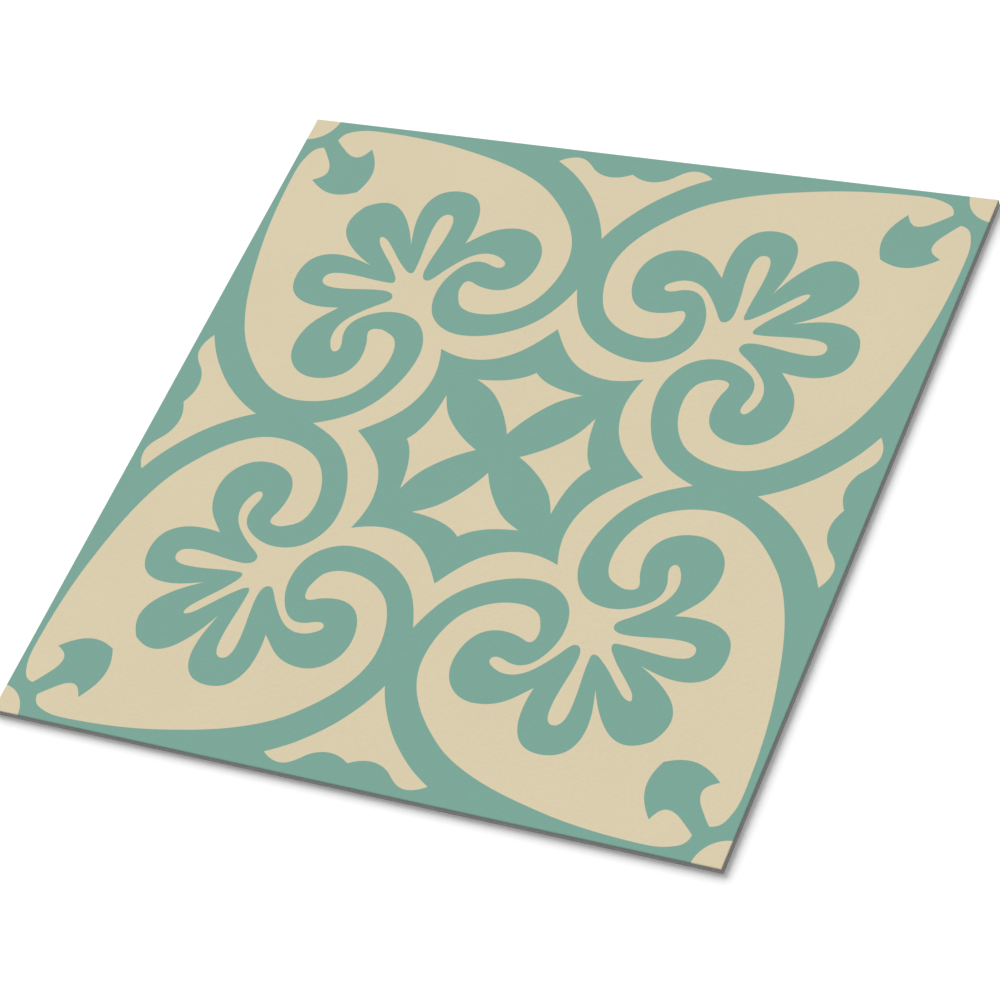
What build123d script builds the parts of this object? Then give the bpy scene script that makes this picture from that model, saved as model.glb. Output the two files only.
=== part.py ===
import os

from build123d import *

# Square vinyl floor tile, cut from one sheet of filled vinyl, in millimetres.
# The origin is the middle of the underside. +Z is up, out of the printed face,
# and X and Y run square to the cut edges.

# Driving dimensions
tile_side = 304.8  # 12 in, the common square size
tile_thickness = 3.2  # 1/8 in sheet
face_easing = 0.3  # radius that the cutting press leaves round the printed face

os.makedirs("parts", exist_ok=True)

# The tile: a flat square plate with sharp corners and square cut edges
with BuildPart() as tile:
    with BuildSketch(Plane.XY) as outline:
        Rectangle(tile_side, tile_side)
    extrude(amount=tile_thickness)

    # The press rounds the printed face's rim a little, and leaves the back sharp
    printed_face = tile.faces().sort_by(Axis.Z)[-1]
    fillet(printed_face.edges(), radius=face_easing)

tile.part.label = "tile"
export_step(tile.part, "parts/tile.step")
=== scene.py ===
from math import asin, atan2, cos, degrees, pi, radians, sin, sqrt

import bpy
import bmesh
from mathutils import Euler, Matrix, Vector


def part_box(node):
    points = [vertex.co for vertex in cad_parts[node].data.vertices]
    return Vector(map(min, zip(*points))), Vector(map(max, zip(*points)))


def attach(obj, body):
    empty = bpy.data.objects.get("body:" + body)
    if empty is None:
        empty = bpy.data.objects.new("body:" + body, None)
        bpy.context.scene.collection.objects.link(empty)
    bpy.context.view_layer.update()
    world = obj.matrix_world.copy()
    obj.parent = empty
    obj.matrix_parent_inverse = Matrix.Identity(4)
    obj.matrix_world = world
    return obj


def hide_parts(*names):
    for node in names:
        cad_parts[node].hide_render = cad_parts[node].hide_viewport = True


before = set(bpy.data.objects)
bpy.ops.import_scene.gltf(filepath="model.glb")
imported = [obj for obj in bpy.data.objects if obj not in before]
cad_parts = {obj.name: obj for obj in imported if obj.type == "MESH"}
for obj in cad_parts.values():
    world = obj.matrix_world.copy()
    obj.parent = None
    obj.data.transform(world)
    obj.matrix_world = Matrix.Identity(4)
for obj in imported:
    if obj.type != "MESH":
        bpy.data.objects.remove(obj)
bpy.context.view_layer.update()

millimetre = 0.001
print("frame loaded:", ", ".join(sorted(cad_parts)))


# Small helpers for colours and node trees

noiseSpan = (0.3, 0.7)  # nearly all of a noise texture's values lie between these
noiseMiddle = 0.5  # the value that they lie around
coarseDetail, usualDetail, fineDetail = 1.0, 2.0, 3.0  # how many finer noises are laid over a noise
nodeSpacing = 190  # sets the nodes in a row in the editor, so that none hides another


def ink(red, green, blue):
    # a colour as it looks on a screen, 0 to 255, turned into Blender's linear one by the sRGB curve
    linear = []
    for part in (red, green, blue):
        share = part / 255
        linear.append(share / 12.92 if share <= 0.04045 else ((share + 0.055) / 1.055) ** 2.4)
    return (*linear, 1.0)


def inUse(sockets, name):
    # some nodes have a socket of the same name for each kind of data, and only one of them is on
    if isinstance(name, int):
        return sockets[name]
    return next(socket for socket in sockets if socket.name == name and socket.enabled)


def addNode(tree, kind, inputs=None, **settings):
    step = tree.nodes.new(kind)
    step.location = (nodeSpacing * len(tree.nodes), 0)
    for name, value in settings.items():
        setattr(step, name, value)
    for name, value in (inputs or {}).items():
        socket = inUse(step.inputs, name)
        if isinstance(value, bpy.types.NodeSocket):
            tree.links.new(value, socket)
        else:
            socket.default_value = value
    return step


def addMath(tree, operation, *values):
    return addNode(tree, "ShaderNodeMath", dict(enumerate(values)), operation=operation).outputs[0]


def addVectorSum(tree, first, second):
    return addNode(tree, "ShaderNodeVectorMath", {0: first, 1: second}, operation="ADD").outputs[0]


def addScaled(tree, vector, factor):
    inputs = {0: vector, "Scale": factor}
    return addNode(tree, "ShaderNodeVectorMath", inputs, operation="SCALE").outputs[0]


def splitUp(tree, vector):
    return addNode(tree, "ShaderNodeSeparateXYZ", {"Vector": vector}).outputs


def addJoined(tree, *parts):
    joined = addNode(tree, "GeometryNodeJoinGeometry")
    for part in parts:
        tree.links.new(part, joined.inputs[0])
    return joined.outputs[0]


def addRange(tree, value, fromLow, fromHigh, low, high):
    return addNode(tree, "ShaderNodeMapRange", {
        "Value": value,
        "From Min": fromLow,
        "From Max": fromHigh,
        "To Min": low,
        "To Max": high}).outputs[0]


def addNoise(tree, place, size, low, high, detail=usualDetail):
    # a noise whose features are so many metres across, spread out between two values
    noise = addNode(tree, "ShaderNodeTexNoise", {
        "Vector": place,
        "Scale": addMath(tree, "DIVIDE", 1.0, size),
        "Detail": detail})
    return addRange(tree, noise.outputs[0], *noiseSpan, low, high)


def addMixed(tree, share, first, second):
    # the first colour, with the second one's share of it
    inputs = {"Factor": share, "A": first, "B": second}
    mixed = addNode(tree, "ShaderNodeMix", inputs, data_type="RGBA")
    return inUse(mixed.outputs, "Result")


def addTone(tree, colour, tone):
    # the same colour, lighter or darker by a factor
    return addNode(tree, "ShaderNodeHueSaturation", {"Color": colour, "Value": tone}).outputs[0]


def startTree(name, kind, inputs, outputs):
    # an empty tree or group with its named sockets, given as name: kind of data
    tree = bpy.data.node_groups.new(name, kind)
    for side, sockets in (("INPUT", inputs), ("OUTPUT", outputs)):
        for label, data in sockets.items():
            tree.interface.new_socket(label, in_out=side, socket_type="NodeSocket" + data)
    return tree, addNode(tree, "NodeGroupInput").outputs


# The drawing of the pattern, as pen strokes

# One eighth of it, between the upward axis and the diagonal, in mm from the tile's middle.
# A point is x, y and the pen's heading there in degrees, and a corner has two headings, in and out.
pattern = {
    "leaf field": [
        (116.3, 116.3, 118), (113.7, 125.8, 90), (119.8, 139.6, 51, 297), (125.1, 134.4, 0),
        (131.5, 137.2, 38), (137.4, 142.1, 44, 97), (136.0, 145.5, 130), (131, 148.2, 161),
        (119.5, 149.4, 181), (80, 145.7, 191), (50, 138.0, 200.5), (30.1, 127.3, 219.5),
        (16.7, 113.7, 233.5), (9.6, 94.5, 270), (14.4, 75.6, 300), (25, 66.4, 335), (36.6, 63.8, 0),
        (44.8, 65.8, 32), (48.0, 70.0, 67), (49.4, 74.6, 90), (47.1, 79.0, 180), (42.5, 77.5, 196),
        (35.4, 76.4, 180), (25.0, 81.1, 127), (21.4, 92.8, 90), (28.5, 106.0, 32), (36.7, 108.3, 0),
        (50.1, 103.8, 321), (56.9, 97.4, 318, 99), (56.2, 105.5, 90), (60.8, 120.0, 46), (70, 123.4, 0),
        (80.2, 119.4, 310), (83.3, 109, 270), (80.1, 93.1, 254, 64), (90.1, 108.0, 45),
        (100, 112.8, 0), (109.2, 109.2, 325)],
    "scroll ring": [
        (94.9, 94.9, 135), (93.5, 94.9, 198), (88.4, 91.1, 223), (78.4, 81.5, 217), (73.8, 78.9, 180),
        (72.7, 81, 90), (74.2, 102, 90), (70.2, 110.8, 180), (66.5, 103, 270), (68.5, 81.9, 270),
        (65.4, 76.4, 180), (63.3, 77.6, 132), (60.4, 81.7, 126), (53.4, 89.9, 137), (44.1, 93.9, 180),
        (37.6, 92.0, 212), (35.4, 89.4, 270), (37.7, 87.6, 0), (42.1, 88.7, 21), (46.4, 89.4, 0),
        (54.3, 84.7, 305), (58.7, 71.3, 270), (53.0, 57.4, 221), (39.2, 52.3, 180),
        (19.9, 57.3, 153), (6.6, 68.8, 124), (0, 82.4, 110)],
    "star": [(0, 61.9, 306), (12.5, 47.7, 323), (30.8, 41.6, 0), (44.4, 44.4, 20)],
    "petal": [
        (0, 39.9, 316), (9.9, 34.6, 343), (23.0, 32.5, 355, 203), (12.4, 26.3, 223), (0, 9.4, 244)],
    "bracket": [
        (0, 108.7, 68), (10, 125.5, 52), (22.5, 137.8, 39), (34.4, 145.4, 28, 143),
        (26.4, 148.4, 180), (18.4, 144.2, 224), (8.6, 140.3, 180), (0, 143.0, 148)],
}
patternHalf = 152.4  # half the side of the tile that the strokes are drawn for
cornerSpot = {
    "middle": 153.8,  # its centre is just past the corner, at this x and y
    "radius": 13.0,
}


def turnBetween(after, before):
    # the turn from one heading to the other, at most half a circle either way
    return (after - before + pi) % (2 * pi) - pi


def pull(leaving, arriving):
    # how far a handle reaches, as a share of the chord, for the roundest curve between two headings,
    # and the numbers are that formula's own
    lift = (sin(leaving) - sin(arriving) / 16) * (sin(arriving) - sin(leaving) / 16)
    bulge = 2 + sqrt(2) * lift * (cos(leaving) - cos(arriving))
    return bulge / (3 * (1 + (sqrt(5) - 1) / 2 * cos(leaving) + (3 - sqrt(5)) / 2 * cos(arriving)))


def spotStroke(rim):
    # the spot's arc, from the flat face's rim round to the diagonal
    middle, radius = cornerSpot["middle"], cornerSpot["radius"]
    return [
        (middle - radius * cos(angle), middle - radius * sin(angle), degrees(angle) - 90)
        for angle in (asin((middle - rim) / radius), pi / 4)]


def drawStrokes(name, scale, spot):
    curve = bpy.data.curves.new(name, "CURVE")
    curve.dimensions = "3D"
    for points in (*pattern.values(), spot):
        stroke = curve.splines.new("BEZIER")
        stroke.bezier_points.add(len(points) - 1)
        knots = stroke.bezier_points
        for knot, point in zip(knots, points):
            knot.handle_left_type = knot.handle_right_type = "FREE"
            knot.co = knot.handle_left = knot.handle_right = Vector((*point[:2], 0)) * scale
        for here, there, start, end in zip(knots, knots[1:], points, points[1:]):
            chord = there.co - here.co
            along = atan2(chord.y, chord.x)
            out, into = radians(start[-1]), radians(end[2])
            leaving, arriving = turnBetween(out, along), turnBetween(along, into)
            firstReach = chord.length * pull(leaving, arriving)
            lastReach = chord.length * pull(arriving, leaving)
            here.handle_right = here.co + Vector((cos(out), sin(out), 0)) * firstReach
            there.handle_left = there.co - Vector((cos(into), sin(into), 0)) * lastReach
    drawing = bpy.data.objects.new(name, curve)
    bpy.context.collection.objects.link(drawing)
    return drawing


# The tree that turns the strokes into the whole tile

tileMake = {
    "curveSteps": 9,  # straight steps between two points of a stroke
    "easingSteps": 4,  # steps round the printed face's eased rim
    "joiningDistance": 0.004 * millimetre,
    "rimMargin": 1.0001,  # a point that is this factor short of the rim still counts as on it
    "leanFrom": 0.01,  # a face of the rim looks upwards by more than this
    "leanTo": 0.99,  # and by less than this
    "sharpTurn": radians(30),  # an edge that turns by more is shaded sharp
}
surfaces = {"green ink": 0, "cream ink": 1, "cut edge": 2, "back": 3}  # the number its faces carry


def buildWholeDrawing():
    # mirrors an eighth of the drawing and turns it four times about the middle
    tree, given = startTree(
        "whole drawing from an eighth", "GeometryNodeTree",
        {"Strokes": "Geometry", "Joining distance": "Float"},
        {"Outlines": "Geometry"})
    lines = addNode(tree, "GeometryNodeCurveToMesh", {"Curve": given["Strokes"]}).outputs[0]
    mirrored = addNode(tree, "GeometryNodeTransform", {
        "Geometry": lines,
        "Scale": (-1, 1, 1)}).outputs[0]
    quarter = addJoined(tree, lines, mirrored)

    middle = addNode(tree, "GeometryNodePoints", {"Count": 4}).outputs[0]
    angle = addMath(tree, "MULTIPLY", addNode(tree, "GeometryNodeInputIndex").outputs[0], pi / 2)
    turn = addNode(tree, "FunctionNodeAxisAngleToRotation", {
        "Axis": (0, 0, 1),
        "Angle": angle}).outputs[0]
    turned = addNode(tree, "GeometryNodeInstanceOnPoints", {
        "Points": middle,
        "Instance": quarter,
        "Rotation": turn}).outputs[0]
    real = addNode(tree, "GeometryNodeRealizeInstances", {"Geometry": turned}).outputs[0]
    joined = addNode(tree, "GeometryNodeMergeByDistance", {
        "Geometry": real,
        "Distance": given["Joining distance"]}).outputs[0]
    loops = addNode(tree, "GeometryNodeMeshToCurve", {"Mesh": joined}).outputs[0]
    addNode(tree, "NodeGroupOutput", {"Outlines": loops})
    return tree


def buildTileTree():
    sizes = ("Face half", "Spot reach", "Thickness", "Easing", "Joining distance")
    tree, given = startTree(
        "patterned tile", "GeometryNodeTree",
        {
            "Strokes": "Geometry",
            **{name: "Float" for name in sizes},
            "Curve steps": "Int",
            "Easing steps": "Int",
            **{name: "Material" for name in surfaces},
        },
        {"Tile": "Geometry"})
    wholeDrawing = buildWholeDrawing()
    fine = addNode(tree, "GeometryNodeSetSplineResolution", {
        "Geometry": given["Strokes"],
        "Resolution": given["Curve steps"]}).outputs[0]

    def addPoint(x=0.0, y=0.0, z=0.0):
        return addNode(tree, "ShaderNodeCombineXYZ", {"X": x, "Y": y, "Z": z}).outputs[0]

    def isSame(number, other):
        return addNode(
            tree, "FunctionNodeCompare", {"A": number, "B": other},
            data_type="INT", operation="EQUAL").outputs[0]

    def keep(geometry, name, value, data, domain, selection=True):
        return addNode(
            tree, "GeometryNodeStoreNamedAttribute",
            {"Geometry": geometry, "Selection": selection, "Name": name, "Value": value},
            data_type=data, domain=domain).outputs[0]

    def recall(name, data):
        return addNode(
            tree, "GeometryNodeInputNamedAttribute", {"Name": name},
            data_type=data).outputs[0]

    def merge(geometry):
        return addNode(tree, "GeometryNodeMergeByDistance", {
            "Geometry": geometry,
            "Distance": given["Joining distance"]}).outputs[0]

    def fillInk(name, rimStart, rimEnd):
        # the strokes and this ink's own stretch of the rim, made whole and filled between its loops
        rim = addNode(tree, "GeometryNodeCurvePrimitiveLine", {
            "Start": rimStart,
            "End": rimEnd}).outputs[0]
        whole = addNode(tree, "GeometryNodeGroup", {
            "Strokes": addJoined(tree, fine, rim),
            "Joining distance": given["Joining distance"]}, node_tree=wholeDrawing).outputs[0]
        filled = addNode(tree, "GeometryNodeFillCurve", {"Curve": whole}).outputs[0]
        return keep(filled, "surface", surfaces[name], "INT", "FACE")

    axisEnd = addPoint(0.0, given["Face half"])
    spotEnd = addPoint(given["Spot reach"], given["Face half"])
    corner = addPoint(given["Face half"], given["Face half"])
    green = fillInk("green ink", axisEnd, spotEnd)
    cream = fillInk("cream ink", spotEnd, corner)
    printed = merge(addJoined(tree, green, cream))
    face = addNode(tree, "GeometryNodeSetPosition", {
        "Geometry": printed,
        "Offset": addPoint(z=given["Thickness"])}).outputs[0]

    # each point of the rim learns where it started and which way is out
    place = addNode(tree, "GeometryNodeInputPosition").outputs[0]
    apart = splitUp(tree, place)
    ways = []
    for axis in ("X", "Y"):
        share = addMath(tree, "DIVIDE", apart[axis], given["Face half"])
        overRim = addMath(tree, "MULTIPLY", share, tileMake["rimMargin"])
        ways.append(addMath(tree, "TRUNC", overRim))  # 1 or -1 on the rim, and 0 within it
    face = keep(face, "outward", addPoint(*ways), "FLOAT_VECTOR", "POINT")
    face = keep(face, "start", place, "FLOAT_VECTOR", "POINT")

    def pushOut(geometry, position):
        # adds one ring of faces to whatever edge is still open
        facesBeside = addNode(tree, "GeometryNodeInputMeshEdgeNeighbors").outputs[0]
        ring = addNode(tree, "GeometryNodeExtrudeMesh", {
            "Mesh": geometry,
            "Selection": isSame(facesBeside, 1),
            "Offset Scale": 0.0}, mode="EDGES").outputs
        moved = addNode(tree, "GeometryNodeSetPosition", {
            "Geometry": ring["Mesh"],
            "Selection": ring["Top"],
            "Position": position}).outputs[0]
        return moved, ring["Side"]

    # the eased rim is a quarter round, and the print runs over it
    loopStart = addNode(tree, "GeometryNodeRepeatInput")
    loopEnd = addNode(tree, "GeometryNodeRepeatOutput")
    loopStart.pair_with_output(loopEnd)
    tree.links.new(given["Easing steps"], loopStart.inputs["Iterations"])
    tree.links.new(face, loopStart.inputs["Geometry"])
    done = addMath(tree, "ADD", loopStart.outputs["Iteration"], 1.0)
    angle = addMath(tree, "MULTIPLY", addMath(tree, "DIVIDE", done, given["Easing steps"]), pi / 2)
    across = addMath(tree, "MULTIPLY", addMath(tree, "SINE", angle), given["Easing"])
    upright = addMath(tree, "SUBTRACT", addMath(tree, "COSINE", angle), 1.0)
    drop = addMath(tree, "MULTIPLY", upright, given["Easing"])
    moved = addVectorSum(
        tree,
        addScaled(tree, recall("outward", "FLOAT_VECTOR"), across),
        addPoint(z=drop))
    ringed = pushOut(
        loopStart.outputs["Geometry"],
        addVectorSum(tree, recall("start", "FLOAT_VECTOR"), moved))[0]
    tree.links.new(ringed, loopEnd.inputs["Geometry"])

    # the cut edge goes straight down, and the back closes the tile
    cut, side = pushOut(loopEnd.outputs["Geometry"], addPoint(apart["X"], apart["Y"]))
    cut = keep(cut, "surface", surfaces["cut edge"], "INT", "FACE", side)
    backed, under = pushOut(cut, addPoint())
    closed = merge(keep(backed, "surface", surfaces["back"], "INT", "FACE", under))

    # only the rim is shaded smooth, and its four corners stay sharp
    lean = splitUp(tree, addNode(tree, "GeometryNodeInputNormal").outputs[0])["Z"]
    aslant = addMath(
        tree, "MULTIPLY",
        addMath(tree, "GREATER_THAN", lean, tileMake["leanFrom"]),
        addMath(tree, "LESS_THAN", lean, tileMake["leanTo"]))
    shaded = addNode(tree, "GeometryNodeSetShadeSmooth", {
        "Geometry": closed,
        "Shade Smooth": aslant}, domain="FACE").outputs[0]
    turn = addNode(tree, "GeometryNodeInputMeshEdgeAngle").outputs["Unsigned Angle"]
    slight = addMath(tree, "LESS_THAN", turn, tileMake["sharpTurn"])
    cornered = addNode(tree, "GeometryNodeSetShadeSmooth", {
        "Geometry": shaded,
        "Shade Smooth": slight}, domain="EDGE").outputs[0]

    shape = addNode(tree, "GeometryNodeRealizeInstances", {"Geometry": cornered}).outputs[0]
    stored = recall("surface", "INT")
    for name, number in surfaces.items():
        shape = addNode(tree, "GeometryNodeSetMaterial", {
            "Geometry": shape,
            "Selection": isSame(stored, number),
            "Material": given[name]}).outputs[0]
    addNode(tree, "NodeGroupOutput", {"Tile": shape})
    return tree


# Effects that more than one finish uses

def buildInkTone():
    # a printed colour with the slow drift of the ink's density and its fine grain
    tree, given = startTree(
        "printed ink tone", "ShaderNodeTree",
        {
            "Place": "Vector", "Ink": "Color",
            "Cloud size": "Float", "Cloud": "Float",
            "Grain size": "Float", "Grain": "Float",
        },
        {"Color": "Color"})
    clouds = addNoise(tree, given["Place"], given["Cloud size"], -1.0, 1.0)
    grains = addNoise(tree, given["Place"], given["Grain size"], -1.0, 1.0, fineDetail)
    tone = addMath(
        tree, "ADD",
        addMath(tree, "MULTIPLY_ADD", clouds, given["Cloud"], 1.0),
        addMath(tree, "MULTIPLY", grains, given["Grain"]))
    addNode(tree, "NodeGroupOutput", {"Color": addTone(tree, given["Ink"], tone)})
    return tree


wearMake = {
    "pebbleSmoothness": 0.6,  # how far the emboss's pebbles run into each other
    "scuffTurns": (0.4, 1.9),  # two ways across the tile, in radians
    "scuffStart": 0.66,  # a scuff shows where its noise is above this
    "scuffFull": 0.8,  # and is at its strongest from here
    "patchSize": 50 * millimetre,  # of the duller and the shinier places
}


def buildWearLayer():
    # the clear layer's fine emboss, and faint hairline scuffs that dull it
    tree, given = startTree(
        "clear wear layer", "ShaderNodeTree",
        {
            "Place": "Vector",
            "Emboss size": "Float", "Emboss depth": "Float",
            "Roughness": "Float", "Patches": "Float",
            "Scuffs": "Float", "Scuff length": "Float", "Scuff width": "Float",
        },
        {"Roughness": "Float", "Normal": "Vector"})
    pebbles = addNode(tree, "ShaderNodeTexVoronoi", {
        "Vector": given["Place"],
        "Scale": addMath(tree, "DIVIDE", 1.0, given["Emboss size"]),
        "Smoothness": wearMake["pebbleSmoothness"]}, feature="SMOOTH_F1").outputs["Distance"]
    ripple = addNoise(tree, given["Place"], given["Emboss size"], *noiseSpan, fineDetail)
    bump = addNode(tree, "ShaderNodeBump", {
        "Height": addMath(tree, "ADD", pebbles, ripple),
        "Distance": given["Emboss depth"]}).outputs[0]

    slim = addNode(tree, "ShaderNodeCombineXYZ", {
        "X": addMath(tree, "DIVIDE", 1.0, given["Scuff length"]),
        "Y": addMath(tree, "DIVIDE", 1.0, given["Scuff width"]),
        "Z": 1.0}).outputs[0]
    scuffs = 0.0
    for turn in wearMake["scuffTurns"]:
        lined = addNode(tree, "ShaderNodeMapping", {
            "Vector": given["Place"],
            "Rotation": (0, 0, turn),
            "Scale": slim}).outputs[0]
        hairs = addNode(tree, "ShaderNodeTexNoise", {
            "Vector": lined,
            "Scale": 1.0,
            "Detail": coarseDetail}).outputs[0]
        shown = addRange(tree, hairs, wearMake["scuffStart"], wearMake["scuffFull"], 0.0, 1.0)
        scuffs = addMath(tree, "ADD", shown, scuffs)
    patches = addNoise(tree, given["Place"], wearMake["patchSize"], -1.0, 1.0)
    roughness = addMath(
        tree, "ADD",
        addMath(tree, "MULTIPLY_ADD", patches, given["Patches"], given["Roughness"]),
        addMath(tree, "MULTIPLY", scuffs, given["Scuffs"]))
    addNode(tree, "NodeGroupOutput", {"Roughness": roughness, "Normal": bump})
    return tree


vinylMake = {
    "bendsPerSpeck": 1.7,  # the bends that make a speck's outline crooked
    "bendReach": 1.1,  # and how far they push it, in specks
    "speckReach": 0.5,  # the biggest speck's radius, in cells, which are as wide as a speck may be
    "speckBlur": 0.15,  # how soft its outline is, in the same cells
    "gritPerSpeck": 4.0,
    "cloudSize": 4 * millimetre,
    "cloudDetail": 4.0,
    "speckGloss": 0.1,  # how much smoother the specks are than the vinyl round them
}


def buildFilledVinyl():
    # the body of the sheet: vinyl with crushed limestone in it, as crooked specks and fine grit
    tree, given = startTree(
        "filled vinyl", "ShaderNodeTree",
        {
            "Place": "Vector", "Vinyl": "Color", "Stone": "Color",
            "Speck size": "Float", "Speck share": "Float", "Mottle": "Float",
        },
        {"Color": "Color", "Specks": "Float"})
    fine = addMath(tree, "DIVIDE", 1.0, given["Speck size"])
    wander = addNode(tree, "ShaderNodeTexNoise", {
        "Vector": given["Place"],
        "Scale": addMath(tree, "MULTIPLY", fine, vinylMake["bendsPerSpeck"]),
        "Detail": coarseDetail}).outputs["Color"]
    bend = addScaled(
        tree,
        addVectorSum(tree, wander, [-noiseMiddle] * 3),
        addMath(tree, "MULTIPLY", given["Speck size"], vinylMake["bendReach"]))
    crooked = addVectorSum(tree, given["Place"], bend)

    def addCells(scale):
        # each cell has the distance from its middle, and a number of its own between 0 and 1
        cells = addNode(tree, "ShaderNodeTexVoronoi", {"Vector": crooked, "Scale": scale}).outputs
        own = addNode(tree, "ShaderNodeSeparateColor", {"Color": cells["Color"]}).outputs[0]
        return cells["Distance"], own

    distance, luck = addCells(fine)
    few = addMath(tree, "SUBTRACT", 1.0, given["Speck share"])
    reach = addRange(tree, luck, few, 1.0, 0.0, vinylMake["speckReach"])
    inside = addMath(tree, "SUBTRACT", reach, distance)
    specks = addRange(tree, inside, 0.0, vinylMake["speckBlur"], 0.0, 1.0)
    finer = addMath(tree, "MULTIPLY", fine, vinylMake["gritPerSpeck"])
    grit = addRange(tree, addCells(finer)[1], 0.0, 1.0, -1.0, 1.0)
    cloudy = addNoise(
        tree, given["Place"], vinylMake["cloudSize"],
        -1.0, 1.0, vinylMake["cloudDetail"])
    tone = addMath(tree, "MULTIPLY_ADD", addMath(tree, "ADD", cloudy, grit), given["Mottle"], 1.0)
    colour = addMixed(tree, specks, addTone(tree, given["Vinyl"], tone), given["Stone"])
    addNode(tree, "NodeGroupOutput", {"Color": colour, "Specks": specks})
    return tree


inkTone = buildInkTone()
wearLayer = buildWearLayer()
filledVinyl = buildFilledVinyl()
print("shared effects built:", ", ".join(tree.name for tree in (inkTone, wearLayer, filledVinyl)))


# The finishes

shine = 0.3  # Specular IOR Level of vinyl that isn't polished


def startMaterial(name):
    # every finish has one Principled shader, and its patterns lie in the tile's own coordinates
    material = bpy.data.materials.new(name)
    material.use_nodes = True
    tree = material.node_tree
    tree.nodes.clear()
    shader = addNode(tree, "ShaderNodeBsdfPrincipled", {"Specular IOR Level": shine})
    addNode(tree, "ShaderNodeOutputMaterial", {"Surface": shader.outputs[0]})
    place = addNode(tree, "ShaderNodeTexCoord").outputs["Object"]
    return material, tree, shader, place


def finishShader(tree, shader, colour, roughness, normal):
    for name, value in (("Base Color", colour), ("Roughness", roughness), ("Normal", normal)):
        tree.links.new(value, shader.inputs[name])


def addFilledVinyl(tree, place, body):
    return addNode(tree, "ShaderNodeGroup", {
        "Place": place,
        "Vinyl": body["vinyl"],
        "Stone": body["stone"],
        "Speck size": body["speckSize"],
        "Speck share": body["speckShare"],
        "Mottle": body["mottle"]}, node_tree=filledVinyl).outputs


def smoothSpecks(tree, dull, vinyl):
    # takes a little roughness away where a speck is
    gloss = addMath(tree, "MULTIPLY", vinyl["Specks"], vinylMake["speckGloss"])
    return addMath(tree, "SUBTRACT", dull, gloss)


printedFace = {
    "green ink": ink(118, 162, 148),
    "cream ink": ink(215, 202, 170),
    "cloudSize": 55 * millimetre,
    "cloud": 0.012,
    "grainSize": 0.9 * millimetre,
    "grain": 0.014,
    "embossSize": 1.5 * millimetre,
    "embossDepth": 0.03 * millimetre,
    "roughness": 0.5,
    "patches": 0.03,
    "scuffs": 0.08,
    "scuffLength": 28 * millimetre,
    "scuffWidth": 0.4 * millimetre,
    "stretched": ink(196, 200, 192),  # the film whitens where the press stretched it over the rim
    "stretch": 0.4,
    "stretchSize": 5 * millimetre,
    "stretchLeast": 0.5,  # of that, in the places where it whitens least
}


def makeInk(name, faceHeight, easing):
    material, tree, shader, place = startMaterial(name)
    tone = addNode(tree, "ShaderNodeGroup", {
        "Place": place,
        "Ink": printedFace[name],
        "Cloud size": printedFace["cloudSize"],
        "Cloud": printedFace["cloud"],
        "Grain size": printedFace["grainSize"],
        "Grain": printedFace["grain"]}, node_tree=inkTone).outputs
    layer = addNode(tree, "ShaderNodeGroup", {
        "Place": place,
        "Emboss size": printedFace["embossSize"],
        "Emboss depth": printedFace["embossDepth"],
        "Roughness": printedFace["roughness"],
        "Patches": printedFace["patches"],
        "Scuffs": printedFace["scuffs"],
        "Scuff length": printedFace["scuffLength"],
        "Scuff width": printedFace["scuffWidth"]}, node_tree=wearLayer).outputs
    level = splitUp(tree, place)["Z"]
    lowered = addRange(tree, level, faceHeight - easing, faceHeight, printedFace["stretch"], 0.0)
    uneven = addNoise(tree, place, printedFace["stretchSize"], printedFace["stretchLeast"], 1.0)
    whitened = addMixed(
        tree, addMath(tree, "MULTIPLY", lowered, uneven), tone["Color"], printedFace["stretched"])
    finishShader(tree, shader, whitened, layer["Roughness"], layer["Normal"])
    return material


cutEdge = {
    "vinyl": ink(141, 142, 140),
    "stone": ink(196, 194, 187),
    "speckSize": 0.34 * millimetre,
    "speckShare": 0.4,
    "mottle": 0.045,
    "lineSize": 0.35 * millimetre,  # between the fine lines that the blade drags down the cut
    "lineStretch": 25,
    "lineTone": 0.05,  # how much lighter or darker a line may be
    "lineRoughness": (0.62, 0.78),
    "dragDepth": 0.03 * millimetre,
    "tearSize": 0.5 * millimetre,
    "tearDepth": 0.5,  # as a share of the lines' depth
    "filmFoot": 0.46 * millimetre,  # how far down the clear layer and its printed film reach
    "filmBlur": 0.04 * millimetre,
    "filmTone": 0.55,  # the inks are this much darker where the blade went through them
    "filmShare": 0.9,
    "backingTop": 1.5 * millimetre,  # the sheet's lower layer is paler up to here, and that paleness also paints in light bounced up from the floor
    "backingBlur": 0.15 * millimetre,
    "backingSway": 0.1 * millimetre,
    "swaySize": 3 * millimetre,
    # painted light: the lower layer's extra paleness stands in for light bounced up from the floor
    "backingToneAndPaintedBounce": 1.3,
    "faceToneAndPaintedShade": 0.76,  # and its upper layer is darker towards the face, which also paints shade on the top of the cut edge
}


def addFilm(tree, apart, faceHeight, spotReach):
    # the cut through the film, as its share of the colour and its own colour, in the inks above it
    foot = faceHeight - cutEdge["filmFoot"]
    share = addRange(tree, apart["Z"], foot - cutEdge["filmBlur"], foot, 0.0, cutEdge["filmShare"])
    along = addMath(
        tree, "MINIMUM",
        addMath(tree, "ABSOLUTE", apart["X"]),
        addMath(tree, "ABSOLUTE", apart["Y"]))
    inks = addMixed(
        tree, addMath(tree, "GREATER_THAN", along, spotReach),
        printedFace["green ink"], printedFace["cream ink"])
    return share, addTone(tree, inks, cutEdge["filmTone"])


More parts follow.
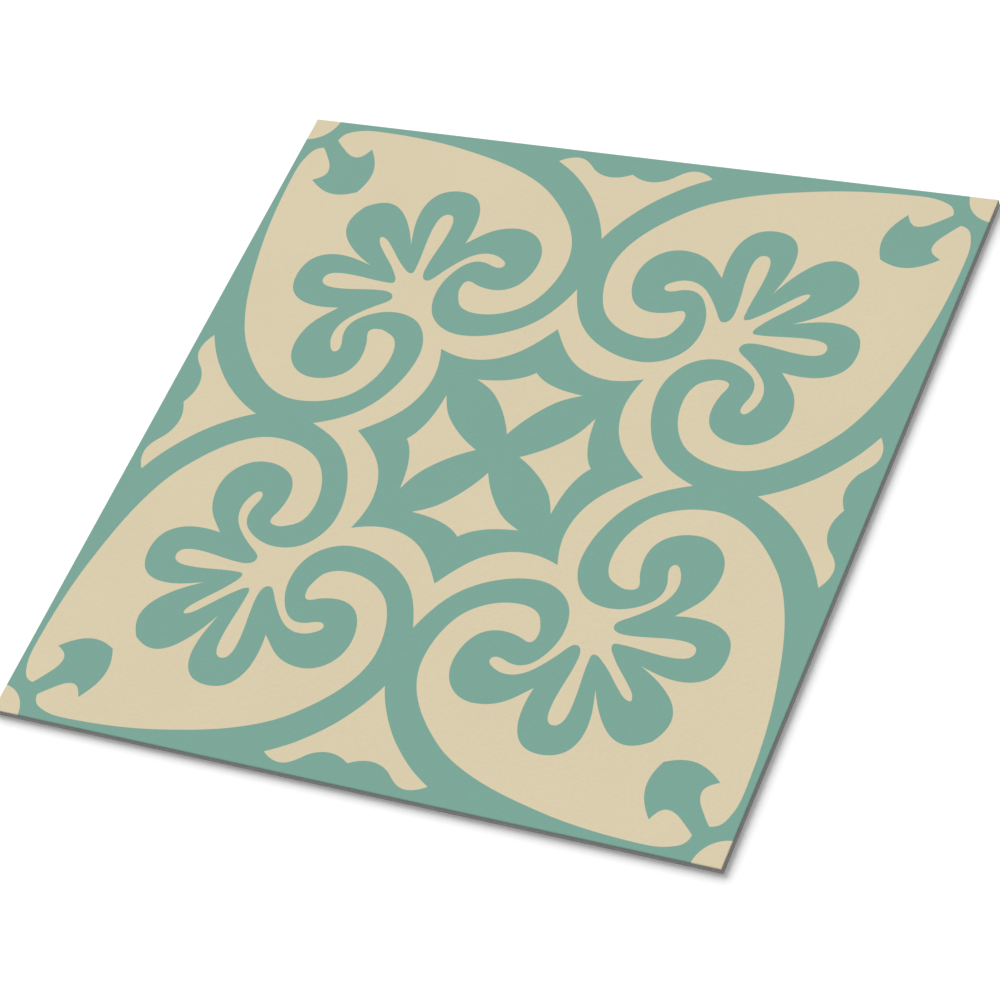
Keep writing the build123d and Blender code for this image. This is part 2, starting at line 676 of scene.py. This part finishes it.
def makeCutEdge(name, faceHeight, spotReach):
    material, tree, shader, place = startMaterial(name)
    vinyl = addFilledVinyl(tree, place, cutEdge)

    # the blade's upright lines, and the tears between them
    upright = addNode(tree, "ShaderNodeMapping", {
        "Vector": place,
        "Scale": (1, 1, 1 / cutEdge["lineStretch"])}).outputs[0]
    lines = addNoise(tree, upright, cutEdge["lineSize"], 0.0, 1.0)
    tears = addNoise(tree, place, cutEdge["tearSize"], 0.0, 1.0, fineDetail)
    bump = addNode(tree, "ShaderNodeBump", {
        "Height": addMath(tree, "MULTIPLY_ADD", tears, cutEdge["tearDepth"], lines),
        "Distance": cutEdge["dragDepth"] * (noiseSpan[1] - noiseSpan[0])}).outputs[0]

    # a lower and an upper layer of vinyl, whose seam isn't quite straight; their tones also paint the
    # cut edge darker at the top and lighter at the bottom, as painted shade and painted bounced light
    apart = splitUp(tree, place)
    sway = addNoise(tree, place, cutEdge["swaySize"], -cutEdge["backingSway"], cutEdge["backingSway"])
    top = cutEdge["backingTop"]
    layerToneAndPaintedShade = addMath(
        tree, "MULTIPLY",
        addRange(
            tree, addMath(tree, "ADD", apart["Z"], sway),
            top, top + cutEdge["backingBlur"], cutEdge["backingToneAndPaintedBounce"], 1.0),
        addRange(tree, apart["Z"], top, faceHeight, 1.0, cutEdge["faceToneAndPaintedShade"]))
    lineTone = addRange(tree, lines, 0.0, 1.0, 1 - cutEdge["lineTone"], 1 + cutEdge["lineTone"])
    streaksAndPaintedShade = addMath(tree, "MULTIPLY", lineTone, layerToneAndPaintedShade)
    share, film = addFilm(tree, apart, faceHeight, spotReach)
    colour = addMixed(tree, share, addTone(tree, vinyl["Color"], streaksAndPaintedShade), film)
    dull = addRange(tree, lines, 0.0, 1.0, *cutEdge["lineRoughness"])
    finishShader(tree, shader, colour, smoothSpecks(tree, dull, vinyl), bump)
    return material


back = {
    "vinyl": ink(159, 160, 157),
    "stone": ink(196, 194, 187),
    "speckSize": 0.34 * millimetre,
    "speckShare": 0.3,
    "mottle": 0.035,
    "clothPitch": 2.4 * millimetre,  # the calender's cloth leaves its weave in the back
    "clothDepth": 0.07 * millimetre,
    "wobble": 0.6,  # how far its threads stray
    "wobbleScale": 2.0,
    "pitHeight": 0.2,  # the pits between the threads are below this, where a thread's top is 1
    "pitShadeAndThreadLight": (0.86, 1.04),  # painted shade in the pits, and a little painted light on the threads
    "clothRoughness": (0.78, 0.62),
}
bandPitch = pi / 10  # between two bands of a wave texture whose scale is 1


def makeBack(name):
    material, tree, shader, place = startMaterial(name)
    vinyl = addFilledVinyl(tree, place, back)
    threads = [
        addNode(tree, "ShaderNodeTexWave", {
            "Vector": place,
            "Scale": bandPitch / back["clothPitch"],
            "Distortion": back["wobble"],
            "Detail": coarseDetail,
            "Detail Scale": back["wobbleScale"],
        }, wave_type="BANDS", bands_direction=direction).outputs["Fac"]
        for direction in ("X", "Y")]
    weave = addMath(tree, "MAXIMUM", *threads)
    bump = addNode(tree, "ShaderNodeBump", {
        "Height": weave,
        "Distance": back["clothDepth"]}).outputs[0]
    # the weave's tone is painted shade in its pits and painted light on its threads
    tone = addRange(tree, weave, back["pitHeight"], 1.0, *back["pitShadeAndThreadLight"])
    dull = addRange(tree, weave, back["pitHeight"], 1.0, *back["clothRoughness"])
    colour = addTone(tree, vinyl["Color"], tone)
    finishShader(tree, shader, colour, smoothSpecks(tree, dull, vinyl), bump)
    return material


# The tile itself

bakeMap = {
    "quarter": 0.5,  # the side of each surface's own quarter of the map, which is 1 wide
    "gap": 0.01,  # between two parts of the map
    "places": {  # the lower left corner of each quarter
        "green ink": (0.0, 0.5),
        "cream ink": (0.5, 0.5),
        "back": (0.0, 0.0),
        "cut edge": (0.5, 0.0),
    },
    "strips": 8,  # the cut edge's quarter has one for each half of each side
}
sameHeight = 0.001 * millimetre  # a point this near to the top is on the face


def readTileSize():
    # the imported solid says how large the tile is, and how far its rim is eased
    low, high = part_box("tile")
    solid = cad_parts["tile"].data
    top = high.z - sameHeight
    faceHalf = max(point.co.x for point in solid.vertices if point.co.z > top)
    return {
        "half": high.x,
        "thickness": high.z - low.z,
        "faceHalf": faceHalf,
        "easing": high.x - faceHalf,
    }


def layOutMap(mesh, size):
    # a square for each ink and for the back, and each half of a cut edge in a strip of its own
    names = {number: name for name, number in surfaces.items()}
    kinds = mesh.attributes["surface"].data
    layer = mesh.uv_layers.new(name="OFBake")
    gap = bakeMap["gap"]
    cell = bakeMap["quarter"] - gap
    strip = bakeMap["quarter"] / bakeMap["strips"] - gap
    half = size["half"]
    for face in mesh.polygons:
        kind = names[kinds[face.index].value]
        left, foot = bakeMap["places"][kind]
        onEdge = kind == "cut edge"
        if onEdge:
            # the strip's number says which side of the tile it is, and which half of that side
            sideways = abs(face.normal.x) > abs(face.normal.y)
            shared = face.center.y if sideways else face.center.x
            turns = (sideways, face.normal.x + face.normal.y > 0, shared > 0)
            number = sum(2 ** power for power, isSo in enumerate(turns) if isSo)
            foot += number * (strip + gap)
        for corner in face.loop_indices:
            place = mesh.vertices[mesh.loops[corner].vertex_index].co
            if onEdge:
                along = place.y if sideways else place.x
                u = along / half + (0 if shared > 0 else 1)
                v = place.z / size["thickness"] * strip / cell
            else:
                u = (place.x / half + 1) / 2
                v = (place.y / half + 1) / 2
            layer.data[corner].uv = (left + gap / 2 + u * cell, foot + gap / 2 + v * cell)


def runTree(drawing, tree, values):
    # the modifier's inputs go by their sockets' identifiers, and its result becomes a plain mesh
    modifier = drawing.modifiers.new(tree.name, "NODES")
    modifier.node_group = tree
    for item in tree.interface.items_tree:
        if item.name in values:
            modifier[item.identifier] = values[item.name]
    made = drawing.evaluated_get(bpy.context.evaluated_depsgraph_get())
    mesh = bpy.data.meshes.new_from_object(made)
    bpy.data.objects.remove(drawing)
    if mesh.materials[0] is None:
        mesh.materials.pop(index=0)  # the strokes' own empty slot
    return mesh


def makeTile():
    size = readTileSize()
    scale = size["half"] / patternHalf
    spot = spotStroke(size["faceHalf"] / scale)
    spotReach = spot[0][0] * scale
    mesh = runTree(drawStrokes("pattern strokes", scale, spot), buildTileTree(), {
        "Face half": size["faceHalf"],
        "Spot reach": spotReach,
        "Thickness": size["thickness"],
        "Easing": size["easing"],
        "Joining distance": tileMake["joiningDistance"],
        "Curve steps": tileMake["curveSteps"],
        "Easing steps": tileMake["easingSteps"],
        "green ink": makeInk("green ink", size["thickness"], size["easing"]),
        "cream ink": makeInk("cream ink", size["thickness"], size["easing"]),
        "cut edge": makeCutEdge("cut edge", size["thickness"], spotReach),
        "back": makeBack("back"),
    })

    shell = bmesh.new()
    shell.from_mesh(mesh)
    bmesh.ops.recalc_face_normals(shell, faces=shell.faces)
    openEdges = [edge for edge in shell.edges if not edge.is_manifold]
    shell.to_mesh(mesh)
    shell.free()
    layOutMap(mesh, size)
    for name in ("surface", "outward", "start"):
        mesh.attributes.remove(mesh.attributes[name])
    mesh.name = "patterned_tile"
    tile = bpy.data.objects.new("patterned_tile", mesh)
    bpy.context.collection.objects.link(tile)
    print("tile made:", len(mesh.polygons), "faces,", len(openEdges), "open edges,",
          [material.name for material in mesh.materials])
    return tile


tile = makeTile()
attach(tile, "root")
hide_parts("tile")


# The studio

studio = {
    "floorSize": 8.0,  # metres across
    "floorLap": 0.5 * millimetre,  # how far the floor reaches in under the tile
    "floorColour": 1.08,  # as the camera sees it
    "floorBounce": 0.8,  # as the light sees it
    "fill": 0.42,  # the room's strength, but the camera and reflections see it white
    "keyStrength": 3.23,
    "keySpread": 50,  # degrees across the softbox
    "keyHeight": 35.6,  # degrees above the floor
    "keyFrom": 138.8,  # degrees round from +X, so from the photo's upper left
}


def addSeenDirectly(tree):
    # 1 for what the camera sees itself or in a reflection, and 0 for what only gives light
    path = addNode(tree, "ShaderNodeLightPath").outputs
    mirrored = addMath(tree, "MAXIMUM", path["Is Glossy Ray"], path["Is Transmission Ray"])
    return addMath(tree, "MAXIMUM", path["Is Camera Ray"], mirrored)


def makeFloor():
    material = bpy.data.materials.new("studio floor")
    material.use_nodes = True
    tree = material.node_tree
    tree.nodes.clear()
    level = addRange(
        tree, addSeenDirectly(tree),
        0.0, 1.0, studio["floorBounce"], studio["floorColour"])
    paper = addNode(tree, "ShaderNodeBsdfDiffuse", {"Color": level})
    addNode(tree, "ShaderNodeOutputMaterial", {"Surface": paper.outputs[0]})

    # it is open under the tile, so that the back can be looked at from below
    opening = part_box("tile")[1].x - studio["floorLap"]
    corners = []
    for half in (studio["floorSize"] / 2, opening):
        corners += [(-half, -half, 0), (half, -half, 0), (half, half, 0), (-half, half, 0)]
    sides = [(0, 1, 5, 4), (1, 2, 6, 5), (2, 3, 7, 6), (3, 0, 4, 7)]
    mesh = bpy.data.meshes.new("studio floor")
    mesh.from_pydata(corners, [], sides)
    mesh.materials.append(material)
    floor = bpy.data.objects.new("studio floor", mesh)
    bpy.context.collection.objects.link(floor)


def lightStudio():
    world = bpy.data.worlds.new("studio room")
    bpy.context.scene.world = world
    world.use_nodes = True
    tree = world.node_tree
    tree.nodes.clear()
    strength = addRange(tree, addSeenDirectly(tree), 0.0, 1.0, studio["fill"], 1.0)
    room = addNode(tree, "ShaderNodeBackground", {"Color": (1, 1, 1, 1), "Strength": strength})
    addNode(tree, "ShaderNodeOutputWorld", {"Surface": room.outputs[0]})

    lamp = bpy.data.lights.new("key softbox", "SUN")
    lamp.energy = studio["keyStrength"]
    lamp.angle = radians(studio["keySpread"])
    key = bpy.data.objects.new("key softbox", lamp)
    key.rotation_euler = Euler((0, radians(90 - studio["keyHeight"]), radians(studio["keyFrom"])))
    key.visible_glossy = False
    bpy.context.collection.objects.link(key)


view = {
    "lens": 123.05,  # focal length in mm
    "place": (0.5892, -0.6401, 0.9776),
    "tilt": (38.17, 16.38, 23.34),  # degrees about X, Y and Z
}


def placeCamera():
    lens = bpy.data.cameras.new("camera")
    lens.lens = view["lens"]
    camera = bpy.data.objects.new("camera", lens)
    camera.location = view["place"]
    camera.rotation_euler = Euler([radians(turn) for turn in view["tilt"]])
    bpy.context.collection.objects.link(camera)
    bpy.context.scene.camera = camera


makeFloor()
lightStudio()
placeCamera()
bpy.context.scene.view_settings.view_transform = "Standard"
print("studio set")
